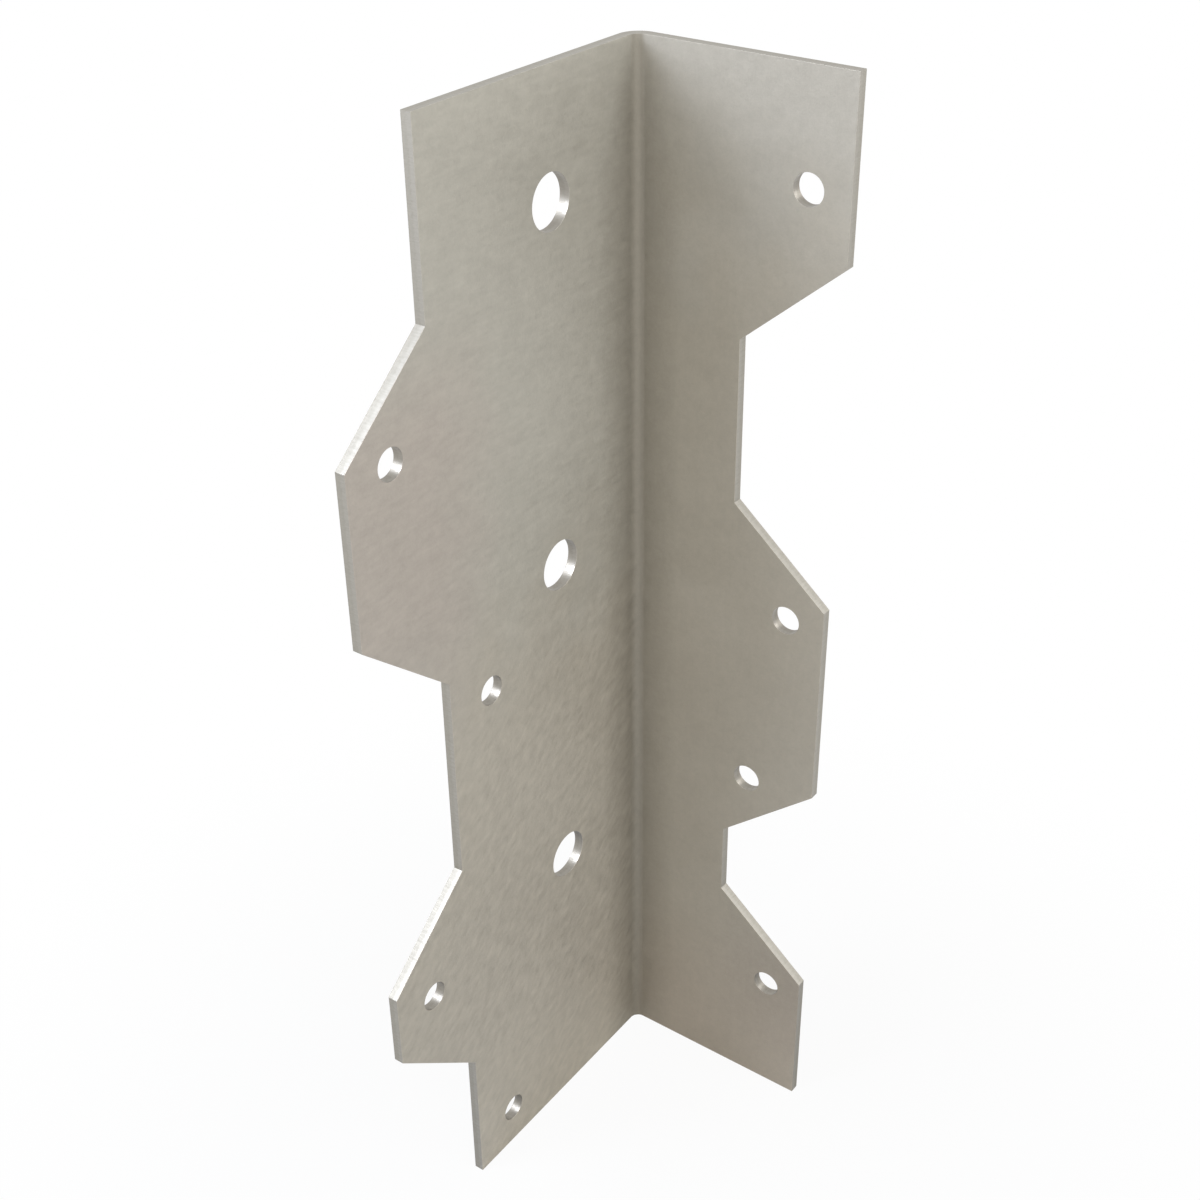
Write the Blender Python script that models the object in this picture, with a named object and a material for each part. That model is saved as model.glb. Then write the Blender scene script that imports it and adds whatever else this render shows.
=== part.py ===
"""Framing angle: one galvanised sheet, punched flat and folded once into two stepped legs.

The blank is laid out flat, with its stepped edges and its holes, and is then folded about
the bend. Both edges of the blank follow the same steps, so the narrow leg steps in where
the wide leg steps out.

Metres, +Z up. The angle stands on its foot, with the origin under the middle of its box.
From the bend the wide leg runs towards -X and the narrow leg towards -Y.
"""

from math import cos, pi, radians, sin, tau

import bmesh
import bpy
from mathutils import Vector

# Sheet and fold
SHEET_THICKNESS = 0.0016
BEND_INSIDE_RADIUS = 0.0016

# How far the legs reach, measured from the sharp outer corner of the fold
WIDE_LEG_REACH = 0.0464
NARROW_LEG_REACH = 0.0352

# Steps of the free edges: tabs on the wide leg, bays in the narrow one
STEP_DEPTH = 0.0160
STEP_RISE = 0.0136

# Straight stretches of the free edges, from the foot up
FOOT_HEIGHT = 0.0254
LOWER_TAB_HEIGHT = 0.0127
WAIST_HEIGHT = 0.0334
UPPER_TAB_HEIGHT = 0.0257
HEAD_HEIGHT = 0.0262

# The narrow leg's upper bay sits slightly higher than the tab across from it
NARROW_UPPER_BAY_LIFT = 0.0006

# Bolt holes, evenly spaced up the wide leg
BOLT_HOLE_DIAMETER = 0.0079
BOLT_HOLE_COUNT = 3
BOLT_LINE_REACH = 0.0208
LOWEST_BOLT_ABOVE_FOOT = 0.0511
HIGHEST_BOLT_BELOW_HEAD = 0.0177

# Nail holes: how far in from the free edge, and how far from the nearest step
NAIL_HOLE_DIAMETER = 0.0046
TAB_NAIL_MARGIN = 0.0080
UPPER_TAB_NAIL_DROP = 0.0019
LOWER_TAB_NAIL_DROP = 0.0053
STEM_NAIL_MARGIN = 0.0088
WAIST_NAIL_DROP = 0.0059
FOOT_NAIL_RISE = 0.0072
NARROW_NAIL_MARGIN = 0.0064
NARROW_HEAD_NAIL_RISE = 0.0095
NARROW_WAIST_NAIL_DROP = 0.0034
NARROW_FOOT_NAIL_DROP = 0.0031
BAY_NAIL_MARGIN = 0.0120
BAY_NAIL_DROP = 0.0013

# Flats that a round stretch is made of
HOLE_SIDES = 48
BEND_SIDES = 12

# Finish
ZINC_COLOUR = (0.45, 0.43, 0.39, 1.0)
ZINC_METALLIC = 0.9
ZINC_ROUGHNESS = 0.48

BEND_OUTSIDE_RADIUS = BEND_INSIDE_RADIUS + SHEET_THICKNESS
BEND_LENGTH = (BEND_INSIDE_RADIUS + SHEET_THICKNESS / 2) * pi / 2
SMOOTH_BELOW = radians(30)


def clear_scene():
    """Removes the objects that a new file starts with."""
    for thing in list(bpy.data.objects):
        bpy.data.objects.remove(thing, do_unlink=True)


def galvanised_steel():
    """Grey zinc skin, satin and slightly warm."""
    material = bpy.data.materials.new("galvanised_steel")
    material.use_nodes = True
    shader = material.node_tree.nodes["Principled BSDF"]
    shader.inputs["Base Color"].default_value = ZINC_COLOUR
    shader.inputs["Metallic"].default_value = ZINC_METALLIC
    shader.inputs["Roughness"].default_value = ZINC_ROUGHNESS
    return material


def stepped_edge(lift):
    """Both ends of each straight stretch, from the foot up, as (step, height).

    The upper tab or bay sits higher by the lift, between a longer waist and a shorter head.
    """
    stretches = (
        (FOOT_HEIGHT, 0.0),
        (LOWER_TAB_HEIGHT, STEP_DEPTH),
        (WAIST_HEIGHT + lift, 0.0),
        (UPPER_TAB_HEIGHT, STEP_DEPTH),
        (HEAD_HEIGHT - lift, 0.0),
    )
    points = []
    height = 0.0
    for stretch, step in stretches:
        points.append((step, height))
        height += stretch
        points.append((step, height))
        height += STEP_RISE
    return points


def levels(lift=0.0):
    """Heights where the stretches of a free edge end, by name."""
    names = (
        "foot", "foot_top",
        "lower_tab_bottom", "lower_tab_top",
        "waist_bottom", "waist_top",
        "upper_tab_bottom", "upper_tab_top",
        "head_bottom", "head",
    )
    return {name: height for name, (step, height) in zip(names, stepped_edge(lift))}


def wide_leg_outline():
    """Free edge of the wide leg, which steps out into two tabs, as (reach, height)."""
    return [(WIDE_LEG_REACH + step, height) for step, height in stepped_edge(0.0)]


def narrow_leg_outline():
    """Free edge of the narrow leg, which steps in to two bays, as (reach, height)."""
    edge = stepped_edge(NARROW_UPPER_BAY_LIFT)
    return [(NARROW_LEG_REACH - step, height) for step, height in edge]


def bolt_holes():
    """Centres of the bolt holes on the wide leg, as (reach, height)."""
    lowest = LOWEST_BOLT_ABOVE_FOOT
    highest = levels()["head"] - HIGHEST_BOLT_BELOW_HEAD
    pitch = (highest - lowest) / (BOLT_HOLE_COUNT - 1)
    return [(BOLT_LINE_REACH, lowest + row * pitch) for row in range(BOLT_HOLE_COUNT)]


def wide_leg_nail_holes():
    """Centres of the nail holes on the wide leg, as (reach, height)."""
    level = levels()
    tab_reach = WIDE_LEG_REACH + STEP_DEPTH - TAB_NAIL_MARGIN
    stem_reach = WIDE_LEG_REACH - STEM_NAIL_MARGIN
    return [
        (tab_reach, level["upper_tab_top"] - UPPER_TAB_NAIL_DROP),
        (stem_reach, level["waist_top"] - WAIST_NAIL_DROP),
        (tab_reach, level["lower_tab_top"] - LOWER_TAB_NAIL_DROP),
        (stem_reach, FOOT_NAIL_RISE),
    ]


def narrow_leg_nail_holes():
    """Centres of the nail holes on the narrow leg, as (reach, height)."""
    level = levels(NARROW_UPPER_BAY_LIFT)
    edge_reach = NARROW_LEG_REACH - NARROW_NAIL_MARGIN
    bay_reach = NARROW_LEG_REACH - BAY_NAIL_MARGIN
    return [
        (edge_reach, level["head_bottom"] + NARROW_HEAD_NAIL_RISE),
        (edge_reach, level["waist_top"] - NARROW_WAIST_NAIL_DROP),
        (bay_reach, level["waist_bottom"] - BAY_NAIL_DROP),
        (edge_reach, level["foot_top"] - NARROW_FOOT_NAIL_DROP),
    ]


def wide_leg_holes():
    """Every hole of the wide leg, as (centre, diameter)."""
    nails = [(centre, NAIL_HOLE_DIAMETER) for centre in wide_leg_nail_holes()]
    bolts = [(centre, BOLT_HOLE_DIAMETER) for centre in bolt_holes()]
    return nails + bolts


def narrow_leg_holes():
    """Every hole of the narrow leg, as (centre, diameter)."""
    return [(centre, NAIL_HOLE_DIAMETER) for centre in narrow_leg_nail_holes()]


def across_narrow_leg(reach):
    """Place on the flat blank, from the fold's middle line, of a reach along the narrow leg."""
    return BEND_LENGTH / 2 + reach - BEND_OUTSIDE_RADIUS


def across_wide_leg(reach):
    """Place on the flat blank, from the fold's middle line, of a reach along the wide leg."""
    return -across_narrow_leg(reach)


def ring_of_edges(mesh, corners):
    """Edges that join the corners in a ring. One that is already there is taken as it is."""
    edges = []
    for pair in zip(corners, corners[1:] + corners[:1]):
        edges.append(mesh.edges.get(pair) or mesh.edges.new(pair))
    return edges


def punched_hole(mesh, across_leg, centre, diameter):
    """Ring of edges around a round hole in the blank."""
    reach, height = centre
    rim = []
    for corner in range(HOLE_SIDES):
        angle = tau * corner / HOLE_SIDES
        across = across_leg(reach + diameter / 2 * cos(angle))
        rim.append(mesh.verts.new((across, 0.0, height + diameter / 2 * sin(angle))))
    return ring_of_edges(mesh, rim)


def bend_strip(mesh):
    """Flats of the fold, side by side on the blank. Returns the corners of each seam."""
    head = levels()["head"]
    seams = []
    for seam in range(BEND_SIDES + 1):
        across = BEND_LENGTH * (seam / BEND_SIDES - 1 / 2)
        seams.append((mesh.verts.new((across, 0.0, 0.0)), mesh.verts.new((across, 0.0, head))))
    for (low, high), (next_low, next_high) in zip(seams, seams[1:]):
        mesh.faces.new((low, next_low, next_high, high))
    return seams


def leg_panel(mesh, across_leg, seam, outline, holes):
    """Flat panel of one leg, from its seam with the fold to its free edge, with its holes."""
    low, high = seam
    free_edge = [mesh.verts.new((across_leg(reach), 0.0, height)) for reach, height in outline]
    rings = ring_of_edges(mesh, [low] + free_edge + [high])
    for centre, diameter in holes:
        rings += punched_hole(mesh, across_leg, centre, diameter)
    bmesh.ops.triangle_fill(mesh, edges=rings, use_beauty=True, normal=(0.0, -1.0, 0.0))


def flat_blank():
    """The punched blank, lying in the XZ plane with its thickness along +Y."""
    mesh = bmesh.new()
    seams = bend_strip(mesh)
    leg_panel(mesh, across_wide_leg, seams[0], wide_leg_outline(), wide_leg_holes())
    leg_panel(mesh, across_narrow_leg, seams[-1], narrow_leg_outline(), narrow_leg_holes())
    back = bmesh.ops.extrude_face_region(mesh, geom=mesh.faces[:])
    back_corners = [part for part in back["geom"] if isinstance(part, bmesh.types.BMVert)]
    bmesh.ops.translate(mesh, verts=back_corners, vec=(0.0, SHEET_THICKNESS, 0.0))
    bmesh.ops.recalc_face_normals(mesh, faces=mesh.faces[:])
    return mesh


def folded(point):
    """Where a point of the flat blank comes to lie once the sheet is folded."""
    across, depth, height = point
    half_bend = BEND_LENGTH / 2
    in_bend = min(max(across, -half_bend), half_bend)
    turn = (in_bend / BEND_LENGTH + 1 / 2) * pi / 2
    bend_centre = Vector((
        (WIDE_LEG_REACH + STEP_DEPTH) / 2 - BEND_OUTSIDE_RADIUS,
        NARROW_LEG_REACH / 2 - BEND_OUTSIDE_RADIUS,
        height,
    ))
    outward = Vector((sin(turn), cos(turn), 0.0))
    along = Vector((cos(turn), -sin(turn), 0.0))
    return bend_centre + outward * (BEND_INSIDE_RADIUS + depth) + along * (across - in_bend)


def framing_angle():
    """The folded angle, as one closed solid."""
    mesh = flat_blank()
    for corner in mesh.verts:
        corner.co = folded(corner.co)
    shape = bpy.data.meshes.new("framing_angle")
    mesh.to_mesh(shape)
    mesh.free()
    shape.materials.append(galvanised_steel())
    shape.shade_smooth()
    shape.set_sharp_from_angle(angle=SMOOTH_BELOW)
    angle = bpy.data.objects.new("framing_angle", shape)
    bpy.context.scene.collection.objects.link(angle)
    return angle


clear_scene()
framing_angle()
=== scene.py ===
"""Looks of the framing angle: galvanised sheet, punched flat, folded once, on a white studio floor.

The sheet is drawn as a flat blank, and each point is then folded about the bend. Lengths are in
metres. Heights are measured from the foot. A reach is measured along a leg from the sharp outer
corner of the fold, which the wide leg leaves towards -X and the narrow leg towards -Y.
"""

import logging
from dataclasses import dataclass
from enum import Enum
from math import cos, degrees, pi, radians, sin, tau
from typing import Union

import bmesh
import bpy
from mathutils import Euler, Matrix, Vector


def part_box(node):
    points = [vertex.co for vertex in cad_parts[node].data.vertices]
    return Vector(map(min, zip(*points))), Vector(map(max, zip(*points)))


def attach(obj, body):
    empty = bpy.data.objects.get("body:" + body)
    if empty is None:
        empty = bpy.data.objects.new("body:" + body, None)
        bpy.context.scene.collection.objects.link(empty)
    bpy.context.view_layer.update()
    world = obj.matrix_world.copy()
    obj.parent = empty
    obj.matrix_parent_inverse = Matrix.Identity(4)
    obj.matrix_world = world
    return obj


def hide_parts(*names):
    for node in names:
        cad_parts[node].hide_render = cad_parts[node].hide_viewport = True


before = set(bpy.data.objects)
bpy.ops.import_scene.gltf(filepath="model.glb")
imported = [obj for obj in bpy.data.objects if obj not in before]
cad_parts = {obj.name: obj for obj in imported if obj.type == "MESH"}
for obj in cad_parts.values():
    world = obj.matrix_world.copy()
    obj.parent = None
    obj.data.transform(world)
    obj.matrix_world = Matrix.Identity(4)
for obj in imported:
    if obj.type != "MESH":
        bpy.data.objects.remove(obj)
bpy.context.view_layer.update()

LOG = logging.getLogger("framing_angle")
NODE = "framing_angle"
FLAT_PLACE = "flat_place"
WHITE = (1.0, 1.0, 1.0, 1.0)
QUARTER = pi / 2

# A noise lies around its mean, and a half tone shows a colour as it is written.
NOISE_MEAN = 0.5
HALF_TONE = 0.5

# The colour sockets of a Mix node share their names with its other sockets, so they go by number.
MIX_COLOURS = (6, 7)
MIX_RESULT = 2

Point = tuple[float, float]
Vector3 = tuple[float, float, float]
Colour = Vector3
Ring = list[bmesh.types.BMVert]
Term = Union["Signal", float, int]
Feed = Union["Signal", float, int, bool, tuple]


@dataclass(frozen=True)
class Grain:
    """Size and make of a noise on the flat blank.

    Attributes:
        across: Its size across the blank.
        along: Its size up the blank.
        octaves: How many finer octaves lie on top of it.
        fineness: How strong each of them is beside the one before.
        seed: Shift that makes one noise unlike another.
        gain: Its weight where noises are added up.
    """

    across: float
    along: float
    octaves: float = 1.0
    fineness: float = 0.6
    seed: float = 0.0
    gain: float = 1.0


class Signal:
    """A value on its way between shader nodes. Arithmetic on it adds Math nodes."""

    def __init__(self, graph: "Graph", socket: bpy.types.NodeSocket) -> None:
        """Wraps an output socket.

        Args:
            graph: The node tree that the socket belongs to.
            socket: The output that carries the value.
        """
        self.graph = graph
        self.socket = socket

    def __add__(self, other: Term) -> "Signal":
        """Sum of two values."""
        return self.graph.math("ADD", self, other)

    def __sub__(self, other: Term) -> "Signal":
        """Difference of two values."""
        return self.graph.math("SUBTRACT", self, other)

    def __rsub__(self, other: Term) -> "Signal":
        """Difference where the signal is taken away."""
        return self.graph.math("SUBTRACT", other, self)

    def __mul__(self, other: Term) -> "Signal":
        """Product of two values."""
        return self.graph.math("MULTIPLY", self, other)

    __radd__ = __add__
    __rmul__ = __mul__


class Outputs:
    """The outputs of a shader node, read by name as signals."""

    def __init__(self, graph: "Graph", node: bpy.types.Node) -> None:
        """Keeps a node whose outputs are read.

        Args:
            graph: The node tree that the node belongs to.
            node: The node itself.
        """
        self.graph = graph
        self.node = node

    def __getitem__(self, name: str) -> Signal:
        """Signal of the output with that name."""
        return Signal(self.graph, self.node.outputs[name])


class Graph:
    """A node tree, filled by a few short methods."""

    def __init__(self, tree: bpy.types.NodeTree) -> None:
        """Empties the tree.

        Args:
            tree: The tree of a material or of the world.
        """
        self.tree = tree
        self.tree.nodes.clear()

    def node(self, kind: str, settings: dict | None = None, feeds: dict | None = None) -> Outputs:
        """Adds a node.

        Args:
            kind: Blender's name of the node's type.
            settings: Properties of the node, set before its sockets are fed.
            feeds: What goes into each socket, by the socket's name or number.

        Returns:
            The node's outputs.
        """
        made = self.tree.nodes.new(kind)
        for name, value in (settings or {}).items():
            setattr(made, name, value)
        for name, value in (feeds or {}).items():
            self.feed(made.inputs[name], value)
        return Outputs(self, made)

    def feed(self, socket: bpy.types.NodeSocket, value: Feed) -> None:
        """Links a signal to a socket, or sets the socket's own value.

        Args:
            socket: The input to feed.
            value: A signal, a number, a vector or a colour.
        """
        if isinstance(value, Signal):
            self.tree.links.new(value.socket, socket)
        else:
            socket.default_value = value

    def math(self, operation: str, left: Term, right: Term) -> Signal:
        """Result of a Math node on two values."""
        return self.node("ShaderNodeMath", {"operation": operation}, {0: left, 1: right})["Value"]

    def absolute(self, value: Signal) -> Signal:
        """A value without its sign."""
        return self.math("ABSOLUTE", value, 0.0)

    def stretched(self, place: Signal, factors: Vector3) -> Signal:
        """Place with each of its coordinates multiplied by a factor of its own."""
        feeds = {0: place, 1: factors}
        return self.node("ShaderNodeVectorMath", {"operation": "MULTIPLY"}, feeds)["Vector"]

    def between(self, place: Signal, other: Vector3) -> Signal:
        """Distance between a place and a fixed one."""
        feeds = {0: place, 1: other}
        return self.node("ShaderNodeVectorMath", {"operation": "DISTANCE"}, feeds)["Value"]

    def tinted(self, colour: Feed, other: Feed, share: Feed) -> Signal:
        """Mix of two colours.

        Args:
            colour: The first colour.
            other: The second colour.
            share: Share of the second colour.

        Returns:
            The mixed colour.
        """
        settings = {"data_type": "RGBA", "clamp_factor": True}
        feeds = {"Factor": share, MIX_COLOURS[0]: colour, MIX_COLOURS[1]: other}
        made = self.node("ShaderNodeMix", settings, feeds)
        return Signal(self, made.node.outputs[MIX_RESULT])

    def parts(self, place: Signal) -> tuple[Signal, Signal, Signal]:
        """Place across the blank, depth in the sheet and height of a place on the flat blank."""
        made = self.node("ShaderNodeSeparateXYZ", feeds={"Vector": place})
        return made["X"], made["Y"], made["Z"]

    def turned(self, place: Signal, angle: float) -> Signal:
        """Place turned in the plane of the blank."""
        feeds = {"Vector": place, "Angle": angle}
        return self.node("ShaderNodeVectorRotate", {"rotation_type": "Y_AXIS"}, feeds)["Vector"]

    def rising(self, value: Signal, start: float, end: float) -> Signal:
        """Smooth step from nought to one.

        Args:
            value: The value that the step follows.
            start: Where it is still nought.
            end: Where it has come to one.

        Returns:
            The height of the step.
        """
        settings = {"interpolation_type": "SMOOTHSTEP"}
        feeds = {"Value": value, "From Min": start, "From Max": end}
        return self.node("ShaderNodeMapRange", settings, feeds)["Result"]

    def noise(self, place: Signal, grain: Grain) -> Signal:
        """Smooth noise around nought on the flat blank.

        Args:
            place: Place on the flat blank.
            grain: Size and make of the noise.

        Returns:
            Values that mostly stay between -0.3 and 0.3.
        """
        settings = {"noise_dimensions": "4D"}
        factors = (1.0 / grain.across, 1.0 / grain.across, 1.0 / grain.along)
        feeds = {
            "Vector": self.stretched(place, factors),
            "W": grain.seed,
            "Scale": 1.0,
            "Detail": grain.octaves,
            "Roughness": grain.fineness,
        }
        return self.node("ShaderNodeTexNoise", settings, feeds)["Fac"] - NOISE_MEAN

    def bump(self, height: Signal, distance: float) -> Signal:
        """Normal of a surface that is raised by a height, in units of the distance."""
        feeds = {"Height": height, "Distance": distance, "Strength": 1.0}
        return self.node("ShaderNodeBump", feeds=feeds)["Normal"]

    def finish(self, kind: str, socket: str, shader: Signal) -> None:
        """Adds the output node and links the shader to it.

        Args:
            kind: Blender's name of the output node's type.
            socket: Name of the output node's input.
            shader: The finished shader.
        """
        self.node(kind, {"is_active_output": True}, {socket: shader})


class Leg(Enum):
    """The two legs, with the way that each runs from the fold across the flat blank."""

    WIDE = -1
    NARROW = 1


class Finish(Enum):
    """Material slots of the angle."""

    SKIN = 0
    SHEARED = 1
    PUNCHED = 2


@dataclass(frozen=True)
class Fold:
    """The sheet's gauge, and the fold that it takes.

    Attributes:
        heel: Sharp outer corner of the fold, seen from above.
        thickness: Gauge of the sheet.
        inside_radius: Radius of the fold on its inner side.
        flats: Flats that the fold is made of.
    """

    heel: Point
    thickness: float = 0.0016
    inside_radius: float = 0.0016
    flats: int = 36

    @property
    def outside_radius(self) -> float:
        """Radius of the fold on its outer side."""
        return self.inside_radius + self.thickness

    @property
    def length(self) -> float:
        """Length of the fold along the middle of the sheet."""
        return (self.inside_radius + self.thickness / 2) * QUARTER

    def seams(self) -> list[float]:
        """Places of the seams between the fold's flats, across the flat blank."""
        return [self.length * (seam / self.flats - 1 / 2) for seam in range(self.flats + 1)]

    def across(self, leg: Leg, reach: float) -> float:
        """Place across the flat blank of a reach along a leg."""
        return leg.value * (self.length / 2 + reach - self.outside_radius)

    def folded(self, place: Vector) -> Vector:
        """Where a point of the flat blank comes to lie.

        Args:
            place: Its place across the blank, in the sheet's depth, and its height.

        Returns:
            Its place in the frame.
        """
        across, depth, height = place
        half = self.length / 2
        bent = min(max(across, -half), half)
        turn = (bent / self.length + 1 / 2) * QUARTER
        heel_x, heel_y = self.heel
        centre = Vector((heel_x - self.outside_radius, heel_y - self.outside_radius, height))
        outward = Vector((sin(turn), cos(turn), 0.0))
        along = Vector((cos(turn), -sin(turn), 0.0))
        return centre + outward * (self.inside_radius + depth) + along * (across - bent)


@dataclass(frozen=True)
class SteppedEdge:
    """Free edge of a leg: five straight stretches with slants between them.

    Attributes:
        reach: Reach of the foot, the waist and the head.
        step: How far the two stretches between them stand out, or in where it is negative.
        lift: How much higher the upper of the two sits than on the wide leg.
        rise: Height of a slant.
        foot: Height of the foot's stretch.
        lower: Height of the lower stretch that stands out or in.
        waist: Height of the waist.
        upper: Height of the upper stretch that stands out or in.
    """

    reach: float
    step: float
    lift: float = 0.0
    rise: float = 0.0136
    foot: float = 0.0254
    lower: float = 0.0127
    waist: float = 0.0334
    upper: float = 0.0257

    def corners(self, head: float) -> list[Point]:
        """Corners from the foot up.

        Args:
            head: Height of the whole angle.

        Returns:
            The reach and the height of each corner.
        """
        corners = [(self.reach, 0.0)]
        height = 0.0
        stretches = (self.foot, self.lower, self.waist + self.lift, self.upper)
        reaches = (self.reach, self.reach + self.step) * 2
        for stretch, reach, following in zip(stretches, reaches, reaches[1:] + reaches[:1]):
            height += stretch
            corners.append((reach, height))
            height += self.rise
            corners.append((following, height))
        return corners + [(self.reach, head)]


@dataclass(frozen=True)
class Hole:
    """A round punched hole.

    Attributes:
        reach: Reach of its centre.
        height: Height of its centre.
        diameter: Its diameter.
        sides: Flats that its wall is made of.
    """

    reach: float
    height: float
    diameter: float
    sides: int = 96

    def rim(self, fold: Fold, leg: Leg, inset: float) -> list[Point]:
        """Ring around the hole.

        Args:
            fold: The fold that the blank will take.
            leg: The leg that holds the hole.
            inset: How much larger the ring's radius is than the hole's.

        Returns:
            The ring's points on the flat blank.
        """
        middle = fold.across(leg, self.reach)
        radius = self.diameter / 2 + inset
        turns = [tau * side / self.sides for side in range(self.sides)]
        return [(middle + radius * cos(turn), self.height + radius * sin(turn)) for turn in turns]


@dataclass(frozen=True)
class ShearedRim:
    """Section of a cut edge: its corners are broken by the shear.

    Attributes:
        inner_break: Radius of the corner on the inner face.
        outer_break: Radius of the corner on the outer face.
        facets: Facets that each of them is made of.
    """

    inner_break: float = 0.00004
    outer_break: float = 0.00004
    facets: int = 3

    def stations(self, thickness: float) -> list[Point]:
        """Section of the rim, from the inner face to the outer one.

        Args:
            thickness: Gauge of the sheet.

        Returns:
            The inset and the depth of each station.
        """
        turns = [QUARTER * facet / self.facets for facet in range(self.facets + 1)]
        corner = [(1 - sin(turn), 1 - cos(turn)) for turn in turns]
        inner = [(self.inner_break * inset, self.inner_break * depth) for inset, depth in corner]
        outer = [(self.outer_break * inset, self.outer_break * depth) for inset, depth in corner]
        return inner + [(inset, thickness - depth) for inset, depth in reversed(outer)]


def inset_ring(ring: list[Point], distance: float) -> list[Point]:
    """Ring of corners moved inwards.

    Args:
        ring: Corners in clockwise order.
        distance: How far each side moves.

    Returns:
        The corners of the smaller ring.
    """
    moved = []
    for before, here, after in zip(ring[-1:] + ring[:-1], ring, ring[1:] + ring[:1]):
        to_here = (Vector(here) - Vector(before)).normalized()
        from_here = (Vector(after) - Vector(here)).normalized()
        inwards = Vector((to_here.y, -to_here.x)), Vector((from_here.y, -from_here.x))
        shift = (inwards[0] + inwards[1]) * distance / (1 + inwards[0].dot(inwards[1]))
        moved.append((here[0] + shift.x, here[1] + shift.y))
    return moved


class Blank:
    """The flat blank as a mesh that is still being made."""

    def __init__(self, fold: Fold, rim: ShearedRim, height: float) -> None:
        """Starts an empty blank.

        Args:
            fold: The fold that the blank will take.
            rim: Section of its cut edges.
            height: Its height.
        """
        self.fold = fold
        self.height = height
        self.stations = rim.stations(fold.thickness)
        self.zinc_facets = rim.facets
        self.mesh = bmesh.new()
        self.place = self.mesh.verts.layers.float_vector.new(FLAT_PLACE)

    def corner(self, point: Point, depth: float) -> bmesh.types.BMVert:
        """Adds a corner, which keeps its place on the flat blank for the finishes.

        Args:
            point: Its place across the blank and its height.
            depth: Its depth in the sheet.

        Returns:
            The corner.
        """
        place = Vector((point[0], depth, point[1]))
        made = self.mesh.verts.new(place)
        made[self.place] = place
        return made

    def wall(self, rings: list[list[Point]], cut: Finish) -> list[Ring]:
        """Adds a cut edge, with the zinc drawn over its inner corner.

        Args:
            rings: Its ring of points at each station of the rim's section.
            cut: Finish of the bare metal.

        Returns:
            The corners of the ring on the inner face and of the one on the outer face.
        """
        rows = []
        for points, (_, depth) in zip(rings, self.stations):
            rows.append([self.corner(point, depth) for point in points])
        for level, (row, following) in enumerate(zip(rows, rows[1:])):
            finish = Finish.SKIN if level < self.zinc_facets else cut
            for index, here in enumerate(row):
                corners = (here, row[index - 1], following[index - 1], following[index])
                self.mesh.faces.new(corners).material_index = finish.value
        return [rows[0], rows[-1]]

    def edge(self, start: bmesh.types.BMVert, end: bmesh.types.BMVert) -> bmesh.types.BMEdge:
        """Edge between two corners, added where there is none yet."""
        return self.mesh.edges.get((start, end)) or self.mesh.edges.new((start, end))

    def ring(self, corners: Ring) -> list[bmesh.types.BMEdge]:
        """Edges that join the corners in a ring."""
        return [self.edge(start, end) for start, end in zip(corners, corners[1:] + corners[:1])]

    def panel(self, outline: Ring, holes: list[Ring]) -> None:
        """Fills one face of a leg.

        Args:
            outline: Corners around it.
            holes: Corners around each of its holes.
        """
        edges = self.ring(outline)
        for hole in holes:
            edges += self.ring(hole)
        bmesh.ops.triangle_fill(self.mesh, edges=edges, use_beauty=True)

    def outline(self, edges: dict[Leg, SteppedEdge]) -> list[Point]:
        """Outline of the whole blank.

        Args:
            edges: The free edge of each leg.

        Returns:
            Its points, clockwise from the wide leg's foot.
        """
        points = []
        for leg, turn in ((Leg.WIDE, 1), (Leg.NARROW, -1)):
            corners = edges[leg].corners(self.height)[::turn]
            points += [(self.fold.across(leg, reach), height) for reach, height in corners]
            end = self.height if leg is Leg.WIDE else 0.0
            points += [(seam, end) for seam in self.fold.seams()[::turn]]
        return points


def scaled(colour: Colour, factor: float) -> tuple[float, float, float, float]:
    """A colour made lighter or darker, and opaque."""
    return (*(part * factor for part in colour), 1.0)


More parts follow.
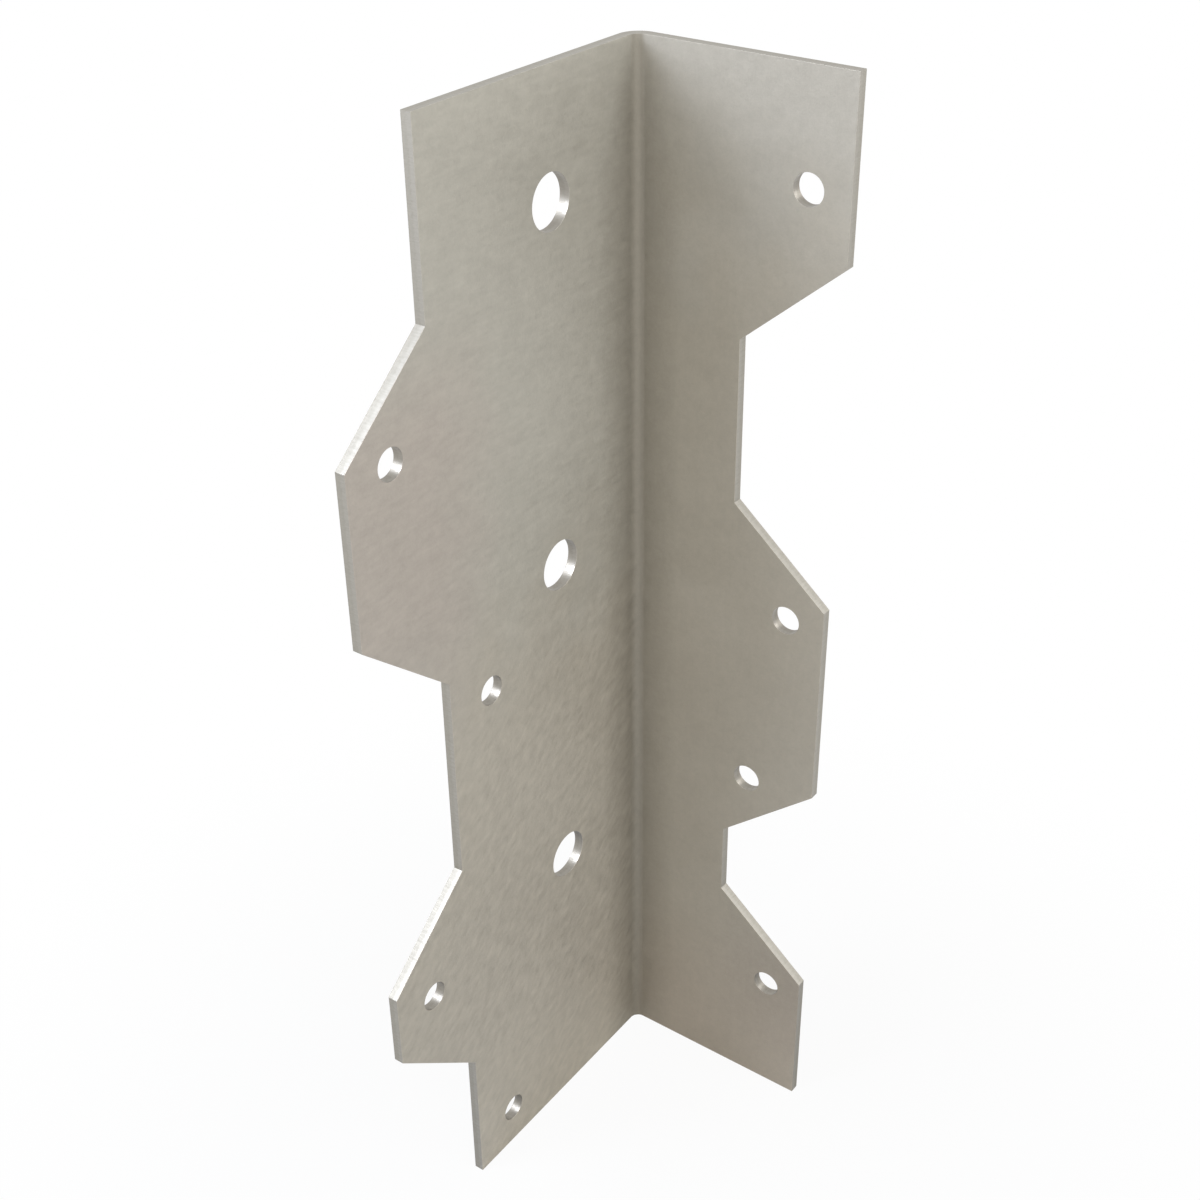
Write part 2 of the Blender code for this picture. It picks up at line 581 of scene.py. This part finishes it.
@dataclass(frozen=True)
class ZincSkin:
    """Finish of the sheet's faces: satin zinc, faintly mottled and drawn out by the rolls.

    Attributes:
        colour: Mean colour of the zinc.
        contrast: How far the tones of the mottles lie apart, as a share of the colour.
        cool_sheen: Cooler colour painted on the upper part of each leg as a cool sheen of the
            light.
        rosy: Colour of the wide leg's upper tab, and in part of the narrow leg's head.
        rosy_head: Share of it on the narrow leg's head.
        brown: Browner colour of the narrow leg's foot.
        brown_foot: Heights between which it ends.
        foot_share: Share of it at the foot.
        foot_shade_share: Share that the painted shade on the narrow leg's foot adds to the brown
            colour.
        metallic: How metallic the zinc is.
        roughness: Its mean roughness.
        dulling: How much the roughness changes with the clouds.
        relief: Height of the grain.
        grain_share: Weight of the grain in the tone, and beside the clouds in the roughness.
        patches: Broad patches of tint.
        clouds: Lighter and darker clouds, drawn out across the sheet.
        mottle: Fine mottle that lies everywhere.
        drawn: Short level streaks in the upper half of the wide leg.
        ripples: Slanting ripples in the lower half of the wide leg.
        combed: Fine upright streaks of the narrow leg.
        ripple_slant: How far the ripples slant.
        seam: Places across the blank between which the narrow leg's look begins.
        middle: Heights between which the streaks give way to the ripples.
        cool_sheen_from: Heights between which the wide leg takes that painted cool sheen.
        cool_sheen_lift: How much higher that happens on the narrow leg.
        cool_sheen_wander: How far the patches move that border up and down.
        tab: Distances from the fold between which the wide leg takes its rosy colour.
        tab_heights: Heights between which the rosy colour ends.
        tab_wander: How far the patches move its border across the sheet.
        fold_shade_colour: Dark colour painted in and beside the fold as shade.
        beside_fold: Share of that painted shade right beside the crease.
        in_crease: Share of it that the crease has by itself.
        crease: Distances from the middle of the fold between which the crease ends.
        fold_middle: Place across the blank where the painted shade is darkest.
        fold_reach: Distance from there at which that has faded out.
        fold_head: Heights between which the painted shade beside the crease ends.
        slims: Heights between which the band of painted shade gets slimmer.
        slimmer: How much its slope is steeper above them.
        fold_foot: Height below which it eases towards the foot.
        foot_ease: Share of it that is gone right at the foot.
        inner_side: Depths in the sheet between which it ends.
        lit_foot_across: Places across the blank between which the wide leg's painted light ends.
        lit_foot_heights: Heights between which the painted light at the wide leg's foot ends.
        foot_light_lift: How much lighter the painted light makes the zinc.
        foot_shade_centre: Middle of the painted shade on the narrow leg's foot, on the flat blank.
        foot_shade_reach: Distance at which that painted shade has faded out.
        darker: How much darker the painted shade makes the zinc.
    """

    colour: Colour = (0.435, 0.403, 0.341)
    contrast: float = 0.6
    cool_sheen: Colour = (0.426, 0.407, 0.355)
    rosy: Colour = (0.421, 0.381, 0.335)
    rosy_head: float = 0.25
    brown: Colour = (0.446, 0.395, 0.330)
    brown_foot: Point = (0.008, 0.040)
    foot_share: float = 0.75
    foot_shade_share: float = 0.5
    metallic: float = 0.6
    roughness: float = 0.55
    dulling: float = 0.2
    relief: float = 0.000028
    grain_share: float = 0.5
    patches: Grain = Grain(0.017, 0.020, octaves=2.0, seed=3.1, gain=0.08)
    clouds: Grain = Grain(0.0075, 0.0034, octaves=2.0, fineness=0.7, seed=5.4, gain=0.11)
    mottle: Grain = Grain(0.0014, 0.0014, octaves=3.0, fineness=1.0, seed=7.7)
    drawn: Grain = Grain(0.0030, 0.0008, seed=11.3, gain=0.6)
    ripples: Grain = Grain(0.0026, 0.0012, seed=17.9, gain=1.2)
    combed: Grain = Grain(0.0005, 0.0045, seed=23.4, gain=0.15)
    ripple_slant: float = radians(40)
    seam: Point = (-0.001, 0.001)
    middle: Point = (0.080, 0.115)
    cool_sheen_from: Point = (0.082, 0.115)
    cool_sheen_lift: float = 0.055
    cool_sheen_wander: float = 0.06
    tab: Point = (0.030, 0.046)
    tab_heights: Point = (0.136, 0.156)
    tab_wander: float = 0.02
    fold_shade_colour: Colour = (0.2485, 0.227, 0.184)
    beside_fold: float = 0.77
    in_crease: float = 0.8
    crease: Point = (0.0007, 0.0019)
    fold_middle: float = -0.0007
    fold_reach: float = 0.0090
    fold_head: Point = (0.168, 0.177)
    slims: Point = (0.158, 0.175)
    slimmer: float = 0.9
    fold_foot: float = 0.045
    foot_ease: float = 0.15
    inner_side: Point = (0.0004, 0.0012)
    lit_foot_across: Point = (-0.010, 0.0)
    lit_foot_heights: Point = (0.004, 0.032)
    foot_light_lift: float = 0.15
    foot_shade_centre: Vector3 = (0.036, 0.0, 0.026)
    foot_shade_reach: float = 0.026
    darker: float = 0.30

    def on_narrow(self, graph: Graph, across: Signal) -> Signal:
        """One on the narrow leg and nought on the wide one."""
        return graph.rising(across, *self.seam)

    def grain(self, graph: Graph, place: Signal) -> Signal:
        """Fine texture of the sheet, around nought.

        Args:
            graph: The tree that it is added to.
            place: Place on the flat blank.

        Returns:
            The sum of the mottle and of what each stretch of the sheet adds to it.
        """
        across, _, height = graph.parts(place)
        narrow = self.on_narrow(graph, across)
        upper = graph.rising(height, *self.middle)
        slanted = graph.turned(place, self.ripple_slant)
        streaks = graph.noise(place, self.drawn) * upper * self.drawn.gain
        ripples = graph.noise(slanted, self.ripples) * (1 - upper) * self.ripples.gain
        combed = graph.noise(place, self.combed) * narrow * self.combed.gain
        return graph.noise(place, self.mottle) + (streaks + ripples) * (1 - narrow) + combed

    def toned(self, graph: Graph, colour: Colour, tone: Signal) -> Signal:
        """A colour between its dark and its pale side, by the tone."""
        dark, pale = (scaled(colour, 1 + side * self.contrast / 2) for side in (-1, 1))
        return graph.tinted(dark, pale, tone)

    def tints(self, graph: Graph, place: Signal, patches: Signal) -> tuple[Signal, Signal, Signal]:
        """Where the zinc takes its painted cool sheen, its rosy colour and its brown colour.

        Args:
            graph: The tree that they are added to.
            place: Place on the flat blank.
            patches: Noise that makes their borders wander.

        Returns:
            The share of the painted cool sheen, that of the rosy colour and that of the brown one.
        """
        across, _, height = graph.parts(place)
        narrow = self.on_narrow(graph, across)
        # Painted cool sheen: a cooler colour on the upper part of each leg, higher on the narrow
        # one.
        wandering = height - narrow * self.cool_sheen_lift + patches * self.cool_sheen_wander
        cool_sheen = graph.rising(wandering, *self.cool_sheen_from)
        outwards = graph.rising(patches * self.tab_wander - across, *self.tab)
        below = 1 - graph.rising(height, *self.tab_heights)
        on_tab = outwards * below * graph.rising(height, *self.cool_sheen_from)
        foot = (1 - graph.rising(height, *self.brown_foot)) * self.foot_share
        # The painted shade on the narrow leg's foot also browns the zinc there.
        brown = (foot + self.in_foot_shade(graph, place) * self.foot_shade_share) * narrow
        return cool_sheen, on_tab + narrow * cool_sheen * self.rosy_head, brown

    def in_foot_shade(self, graph: Graph, place: Signal) -> Signal:
        """One in the middle of the painted shade at the narrow leg's foot, nought away from it."""
        return 1 - graph.rising(graph.between(place, self.foot_shade_centre), 0.0, self.foot_shade_reach)

    def painted_fold_shade(self, graph: Graph, place: Signal) -> Signal:
        """How much shade is painted in and beside the fold.

        Args:
            graph: The tree that it is added to.
            place: Place on the flat blank.

        Returns:
            Nearly one at the inner side of the fold, and nought or less away from it and on the
            outer side.
        """
        across, depth, height = graph.parts(place)
        slope = 1 / self.fold_reach
        steeper = graph.rising(height, *self.slims) * (self.slimmer * slope) + slope
        near = 1 - graph.absolute(across - self.fold_middle) * steeper
        beside = near * (1 - graph.rising(height, *self.fold_head)) * self.beside_fold
        crease = 1 - graph.rising(graph.absolute(across), *self.crease)
        painted_shade = beside + (1 - beside) * crease * self.in_crease
        above_foot = graph.rising(height, 0.0, self.fold_foot)
        eased = above_foot * self.foot_ease + (1 - self.foot_ease)
        return painted_shade * eased * (1 - graph.rising(depth, *self.inner_side))

    def foot_light_and_shade(self, graph: Graph, place: Signal) -> Signal:
        """Painted light and shade that the foot of each leg adds to the tone.

        Args:
            graph: The tree that it is added to.
            place: Place on the flat blank.

        Returns:
            Above nought in the wide leg's painted light, below it in the narrow leg's painted
            shade.
        """
        across, _, height = graph.parts(place)
        wide = 1 - graph.rising(across, *self.lit_foot_across)
        pale = wide * (1 - graph.rising(height, *self.lit_foot_heights)) * self.foot_light_lift
        # Painted light lifts the wide leg's foot, painted shade darkens the narrow leg's foot.
        return pale - self.in_foot_shade(graph, place) * self.darker

    def colours(self, graph: Graph, place: Signal, patches: Signal, tone: Signal) -> Signal:
        """Colour of the zinc, with its tints, among them a painted cool sheen, and the painted
        shade of the fold.

        Args:
            graph: The tree that it is added to.
            place: Place on the flat blank.
            patches: Noise that makes the borders of the tints wander.
            tone: Where the zinc is between its dark and its pale side.

        Returns:
            The colour.
        """
        colour = self.toned(graph, self.colour, tone)
        tints = (self.cool_sheen, self.rosy, self.brown)
        for tint, share in zip(tints, self.tints(graph, place, patches)):
            colour = graph.tinted(colour, self.toned(graph, tint, tone), share)
        # Painted shade: a dark colour laid in and beside the fold on its inner side.
        painted_shade = self.toned(graph, self.fold_shade_colour, tone)
        return graph.tinted(colour, painted_shade, self.painted_fold_shade(graph, place))

    def material(self) -> bpy.types.Material:
        """Makes the finish.

        Returns:
            The material.
        """
        material = bpy.data.materials.new("zinc_skin")
        material.use_nodes = True
        graph = Graph(material.node_tree)
        place = graph.node("ShaderNodeAttribute", {"attribute_name": FLAT_PLACE})["Vector"]
        patches = graph.noise(place, self.patches)
        clouds = graph.noise(place, self.clouds)
        grain = self.grain(graph, place)
        cloudy = clouds * self.clouds.gain + patches * self.patches.gain
        tone = grain * self.grain_share + cloudy + self.foot_light_and_shade(graph, place) + HALF_TONE
        rough = clouds * self.dulling + grain * (self.dulling * self.grain_share) + self.roughness
        feeds = {
            "Base Color": self.colours(graph, place, patches, tone),
            "Metallic": self.metallic,
            "Roughness": rough,
            "Normal": graph.bump(grain, self.relief),
        }
        shader = graph.node("ShaderNodeBsdfPrincipled", feeds=feeds)["BSDF"]
        graph.finish("ShaderNodeOutputMaterial", "Surface", shader)
        return material


@dataclass(frozen=True)
class CutEdge:
    """Finish of a sheared or punched wall: bare metal, burnished and then torn.

    Attributes:
        name: Name of its material.
        burnished: Colour of the smooth band beside the inner face.
        torn: Colour of the band where the sheet broke away.
        seam: Depths between which the first gives way to the second.
        wander: How far the seam between them wanders.
        metallic: How metallic the bare metal is.
        smooth: Roughness of the burnished band.
        rough: Roughness of the torn band.
        score_dulling: How much the roughness changes with the scores.
        relief: Height of the scores.
        drag: Factor by which the scores are drawn out through the sheet.
        scores: Scores that the shear leaves through the sheet.
        pits: Pits of the torn band.
        shade: Tone of the deepest scores and pits, as a share of the torn colour.
        shading: Share of that tone where there is neither.
    """

    name: str
    burnished: Colour = (0.40, 0.381, 0.341)
    torn: Colour = (0.374, 0.355, 0.313)
    seam: Point = (0.0005, 0.0009)
    wander: float = 0.0006
    metallic: float = 1.0
    smooth: float = 0.54
    rough: float = 0.58
    score_dulling: float = 0.15
    relief: float = 0.000006
    drag: float = 0.1
    scores: Grain = Grain(0.0002, 0.0002, seed=31.7, gain=0.6)
    pits: Grain = Grain(0.00035, 0.00035, octaves=2.0, seed=37.2, gain=0.8)
    shade: float = 0.7
    shading: float = 0.1

    def material(self) -> bpy.types.Material:
        """Makes the finish.

        Returns:
            The material.
        """
        material = bpy.data.materials.new(self.name)
        material.use_nodes = True
        graph = Graph(material.node_tree)
        place = graph.node("ShaderNodeAttribute", {"attribute_name": FLAT_PLACE})["Vector"]
        _, depth, _ = graph.parts(place)
        scores = graph.noise(graph.stretched(place, (1.0, self.drag, 1.0)), self.scores)
        pits = graph.noise(place, self.pits)
        torn = graph.rising(depth + pits * self.wander, *self.seam)
        colour = graph.tinted((*self.burnished, 1.0), (*self.torn, 1.0), torn)
        deep = scores * self.scores.gain + pits * torn * self.pits.gain + self.shading
        rough = torn * (self.rough - self.smooth) + scores * self.score_dulling + self.smooth
        feeds = {
            "Base Color": graph.tinted(colour, scaled(self.torn, self.shade), deep),
            "Metallic": self.metallic,
            "Roughness": rough,
            "Normal": graph.bump(scores + pits * torn, self.relief),
        }
        shader = graph.node("ShaderNodeBsdfPrincipled", feeds=feeds)["BSDF"]
        graph.finish("ShaderNodeOutputMaterial", "Surface", shader)
        return material


@dataclass(frozen=True)
class FramingAngle:
    """The angle: its two stepped edges, its holes, its rims and its finishes.

    Attributes:
        fold: Gauge and fold of the sheet.
        height: Height of the angle.
        wide_edge: Free edge of the wide leg.
        narrow_edge: Free edge of the narrow leg.
        bolt_diameter: Diameter of the bolt holes.
        bolt_reach: Reach of the row of bolt holes.
        bolt_heights: Heights of the lowest and the highest bolt hole.
        bolt_count: How many bolt holes there are.
        nail_diameter: Diameter of the nail holes.
        wide_nails: Reach and height of each nail hole of the wide leg.
        narrow_nails: Reach and height of each nail hole of the narrow leg.
        rim: Section of the cut edges.
        skin: Finish of the faces.
        sheared: Finish of the cut edges around the blank.
        punched: Finish of the walls of the holes.
        smooth_below: Angle below which two facets are shaded as one.
    """

    fold: Fold
    height: float
    wide_edge: SteppedEdge = SteppedEdge(reach=0.0464, step=0.0160)
    narrow_edge: SteppedEdge = SteppedEdge(reach=0.0352, step=-0.0160, lift=0.0006)
    bolt_diameter: float = 0.0079
    bolt_reach: float = 0.0208
    bolt_heights: Point = (0.0511, 0.1601)
    bolt_count: int = 3
    nail_diameter: float = 0.0046
    wide_nails: tuple[Point, ...] = (
        (0.0376, 0.0072),
        (0.0544, 0.0464),
        (0.0376, 0.0928),
        (0.0544, 0.1361),
    )
    narrow_nails: tuple[Point, ...] = (
        (0.0288, 0.0223),
        (0.0232, 0.0640),
        (0.0288, 0.0959),
        (0.0288, 0.1617),
    )
    rim: ShearedRim = ShearedRim()
    skin: ZincSkin = ZincSkin()
    sheared: CutEdge = CutEdge("sheared_edge")
    punched: CutEdge = CutEdge(
        "punched_wall",
        burnished=(0.350, 0.328, 0.290),
        torn=(0.322, 0.300, 0.262),
        smooth=0.38,
        rough=0.46,
    )
    smooth_below: float = radians(12)

    def holes(self, leg: Leg) -> list[Hole]:
        """Holes of a leg.

        Args:
            leg: The leg that holds them.

        Returns:
            The nail holes, and then the bolt holes.
        """
        if leg is Leg.NARROW:
            return [Hole(reach, height, self.nail_diameter) for reach, height in self.narrow_nails]
        lowest, highest = self.bolt_heights
        pitch = (highest - lowest) / (self.bolt_count - 1)
        nails = [Hole(reach, height, self.nail_diameter) for reach, height in self.wide_nails]
        rows = [lowest + pitch * row for row in range(self.bolt_count)]
        return nails + [Hole(self.bolt_reach, height, self.bolt_diameter) for height in rows]

    def blank(self) -> Blank:
        """Draws the punched blank.

        Returns:
            The blank, still flat.
        """
        blank = Blank(self.fold, self.rim, self.height)
        outline = blank.outline({Leg.WIDE: self.wide_edge, Leg.NARROW: self.narrow_edge})
        insets = [inset for inset, _ in blank.stations]
        outer_rings = blank.wall([inset_ring(outline, inset) for inset in insets], Finish.SHEARED)
        hole_rings = {}
        for leg in Leg:
            hole_rings[leg] = [
                blank.wall([hole.rim(self.fold, leg, inset) for inset in insets], Finish.PUNCHED)
                for hole in self.holes(leg)
            ]
        # Each half of a ring is a leg's free edge, then the fold's seams at the head or the foot.
        half = len(outline) // 2
        seams = self.fold.flats + 1
        free = half - seams
        for side, ring in enumerate(outer_rings):
            head = ring[free:half]
            foot = list(reversed(ring))[:seams]
            holes = {leg: [rings[side] for rings in hole_rings[leg]] for leg in Leg}
            blank.panel(ring[:free] + [head[0], foot[0]], holes[Leg.WIDE])
            blank.panel([head[-1]] + ring[half:half + free] + [foot[-1]], holes[Leg.NARROW])
            for left, right, low, low_right in zip(head, head[1:], foot, foot[1:]):
                blank.mesh.faces.new((left, right, low_right, low))
        bmesh.ops.recalc_face_normals(blank.mesh, faces=blank.mesh.faces[:])
        return blank

    def build(self) -> bpy.types.Object:
        """Folds the blank and dresses it.

        Returns:
            The angle, riding on its body and standing for its CAD node.
        """
        blank = self.blank()
        for corner in blank.mesh.verts:
            corner.co = self.fold.folded(corner.co)
        shape = bpy.data.meshes.new("folded_sheet")
        blank.mesh.to_mesh(shape)
        blank.mesh.free()
        shape.materials.append(self.skin.material())
        shape.materials.append(self.sheared.material())
        shape.materials.append(self.punched.material())
        shape.shade_smooth()
        shape.set_sharp_from_angle(angle=self.smooth_below)
        piece = bpy.data.objects.new("folded_sheet", shape)
        bpy.context.scene.collection.objects.link(piece)
        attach(piece, "root")
        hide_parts(NODE)
        LOG.info("%s: %d faces", piece.name, len(shape.polygons))
        return piece


def stand_off(
    thing: bpy.types.Object, aim: Vector, azimuth: float, elevation: float, distance: float
) -> None:
    """Turns a camera or a lamp towards a point and moves it away from there.

    Args:
        thing: The camera or the lamp.
        aim: The point that it faces.
        azimuth: Where it stands, turned from -Y towards +X.
        elevation: How high it stands.
        distance: How far it is from the point.
    """
    turn = Euler((QUARTER - elevation, 0.0, azimuth))
    thing.rotation_euler = turn
    thing.location = aim + turn.to_matrix() @ Vector((0.0, 0.0, distance))


@dataclass(frozen=True)
class PhotoCamera:
    """Camera at the photograph's viewing angle.

    Attributes:
        name: Name of the camera.
        aim: Point that the optical axis passes through.
        azimuth: Where the camera stands, turned from -Y towards +X.
        elevation: How far it looks down.
        distance: How far it is from the point that it aims at.
        lens: Focal length.
        shift: Shift of the picture, in widths of it.
        nearest: Distance that is cut off in front of it.
    """

    name: str = "photo_camera"
    aim: Vector3 = (0.00944, 0.00193, 0.10306)
    azimuth: float = radians(-54.92)
    elevation: float = radians(31.96)
    distance: float = 0.24806
    lens: float = 52.18
    shift: Point = (-0.0297, 0.0099)
    nearest: float = 0.01

    def build(self) -> bpy.types.Object:
        """Adds the camera and makes it the scene's own.

        Returns:
            The camera.
        """
        data = bpy.data.cameras.new(self.name)
        data.lens = self.lens
        data.shift_x, data.shift_y = self.shift
        data.clip_start = self.nearest
        camera = bpy.data.objects.new(self.name, data)
        stand_off(camera, Vector(self.aim), self.azimuth, self.elevation, self.distance)
        bpy.context.scene.collection.objects.link(camera)
        bpy.context.scene.camera = camera
        LOG.info("%s looks down %.1f degrees", camera.name, degrees(self.elevation))
        return camera


def seen_directly(graph: Graph) -> Signal:
    """Tells what is seen, also in metal or through glass, from what only lights.

    Args:
        graph: The tree that it is added to.

    Returns:
        One for camera, glossy and transmission rays, and nought for all others.
    """
    path = graph.node("ShaderNodeLightPath")
    either = graph.math("MAXIMUM", path["Is Camera Ray"], path["Is Glossy Ray"])
    return graph.math("MAXIMUM", either, path["Is Transmission Ray"])


@dataclass(frozen=True)
class StudioFloor:
    """White floor that keeps the angle's shadow and fades into the background.

    Attributes:
        reach: Distance from its middle to its sides.
        colour: Colour of the floor's paper.
        glow: Share of plain white in what the camera sees of the paper near the angle.
        fade: Distances between which the paper gives way to plain white, also in the metal.
    """

    reach: float = 4.0
    colour: Colour = (0.65, 0.65, 0.65)
    glow: float = 0.93
    fade: Point = (0.04, 0.15)

    def material(self) -> bpy.types.Material:
        """Makes white paper that glows where it is seen.

        Returns:
            The material.
        """
        material = bpy.data.materials.new("floor_paper")
        material.use_nodes = True
        graph = Graph(material.node_tree)
        paper = graph.node("ShaderNodeBsdfDiffuse", feeds={"Color": (*self.colour, 1.0)})["BSDF"]
        glowing = {"Color": WHITE, "Strength": 1.0}
        white = graph.node("ShaderNodeEmission", feeds=glowing)["Emission"]
        place = graph.node("ShaderNodeTexCoord")["Object"]
        distance = graph.node("ShaderNodeVectorMath", {"operation": "LENGTH"}, {0: place})["Value"]
        far = graph.rising(distance, *self.fade)
        near = graph.node("ShaderNodeLightPath")["Is Camera Ray"] * self.glow
        feeds = {"Fac": seen_directly(graph) * far + near * (1 - far), 1: paper, 2: white}
        shader = graph.node("ShaderNodeMixShader", feeds=feeds)["Shader"]
        graph.finish("ShaderNodeOutputMaterial", "Surface", shader)
        return material

    def build(self) -> bpy.types.Object:
        """Adds the floor under the angle's foot.

        Returns:
            The floor.
        """
        signs = ((-1, -1), (1, -1), (1, 1), (-1, 1))
        corners = [(self.reach * across, self.reach * along, 0.0) for across, along in signs]
        shape = bpy.data.meshes.new("studio_floor")
        shape.from_pydata(corners, [], [tuple(range(len(corners)))])
        shape.materials.append(self.material())
        floor = bpy.data.objects.new("studio_floor", shape)
        bpy.context.scene.collection.objects.link(floor)
        LOG.info("%s: %.0f m wide", floor.name, 2 * self.reach)
        return floor


@dataclass(frozen=True)
class StudioAir:
    """Light from all around: white where it is seen, softer where it only lights.

    Attributes:
        seen: Strength for camera, glossy and transmission rays.
        fill: Strength of the light on surfaces without gloss.
    """

    seen: float = 1.0
    fill: float = 0.3

    def build(self) -> bpy.types.World:
        """Gives the scene its world.

        Returns:
            The world.
        """
        world = bpy.data.worlds.new("studio_air")
        world.use_nodes = True
        graph = Graph(world.node_tree)
        strength = seen_directly(graph) * (self.seen - self.fill) + self.fill
        feeds = {"Color": WHITE, "Strength": strength}
        background = graph.node("ShaderNodeBackground", feeds=feeds)["Background"]
        graph.finish("ShaderNodeOutputWorld", "Surface", background)
        bpy.context.scene.world = world
        LOG.info("%s: fill %.2f", world.name, self.fill)
        return world


@dataclass(frozen=True)
class SoftBox:
    """A square soft lamp that faces the middle of the angle.

    Attributes:
        name: Name of the lamp.
        azimuth: Where it stands, turned from -Y towards +X.
        elevation: How high it stands.
        distance: How far it is from the middle of the angle.
        side: Length of its sides.
        radiance: How bright its face is, where one is white.
        tint: Colour of its light.
    """

    name: str
    azimuth: float
    elevation: float
    distance: float
    side: float
    radiance: float
    tint: Colour = (1.0, 1.0, 1.0)

    def build(self, middle: Vector) -> bpy.types.Object:
        """Adds the lamp.

        Args:
            middle: The point that it faces.

        Returns:
            The lamp.
        """
        data = bpy.data.lights.new(self.name, "AREA")
        data.size = self.side
        data.energy = self.radiance * pi * self.side ** 2
        data.color = self.tint
        lamp = bpy.data.objects.new(self.name, data)
        lamp.visible_camera = False
        stand_off(lamp, middle, self.azimuth, self.elevation, self.distance)
        bpy.context.scene.collection.objects.link(lamp)
        LOG.info("%s: radiance %.2f", lamp.name, self.radiance)
        return lamp


LAMPS = (
    SoftBox(
        "key_softbox",
        azimuth=radians(-126),
        elevation=radians(37),
        distance=0.36,
        side=0.16,
        radiance=11.8,
        tint=(0.93, 1.0, 1.15),
    ),
    SoftBox(
        "front_softbox",
        azimuth=radians(10),
        elevation=radians(34),
        distance=0.40,
        side=0.20,
        radiance=3.6,
    ),
    SoftBox(
        "side_softbox",
        azimuth=radians(-40),
        elevation=radians(35),
        distance=1.2,
        side=0.8,
        radiance=4.0,
    ),
    SoftBox(
        "right_softbox",
        azimuth=radians(54),
        elevation=radians(22),
        distance=0.48,
        side=0.19,
        radiance=2.3,
    ),
)


def main() -> None:
    """Builds the camera, the studio and the angle, and reports each piece."""
    logging.basicConfig(level=logging.INFO, format="%(message)s")
    bpy.context.scene.view_settings.view_transform = "Standard"
    low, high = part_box(NODE)
    PhotoCamera().build()
    StudioAir().build()
    StudioFloor().build()
    for lamp in LAMPS:
        lamp.build((low + high) / 2)
    fold = Fold(heel=(high.x, high.y))
    FramingAngle(fold=fold, height=high.z - low.z).build()


if __name__ == "__main__":
    main()
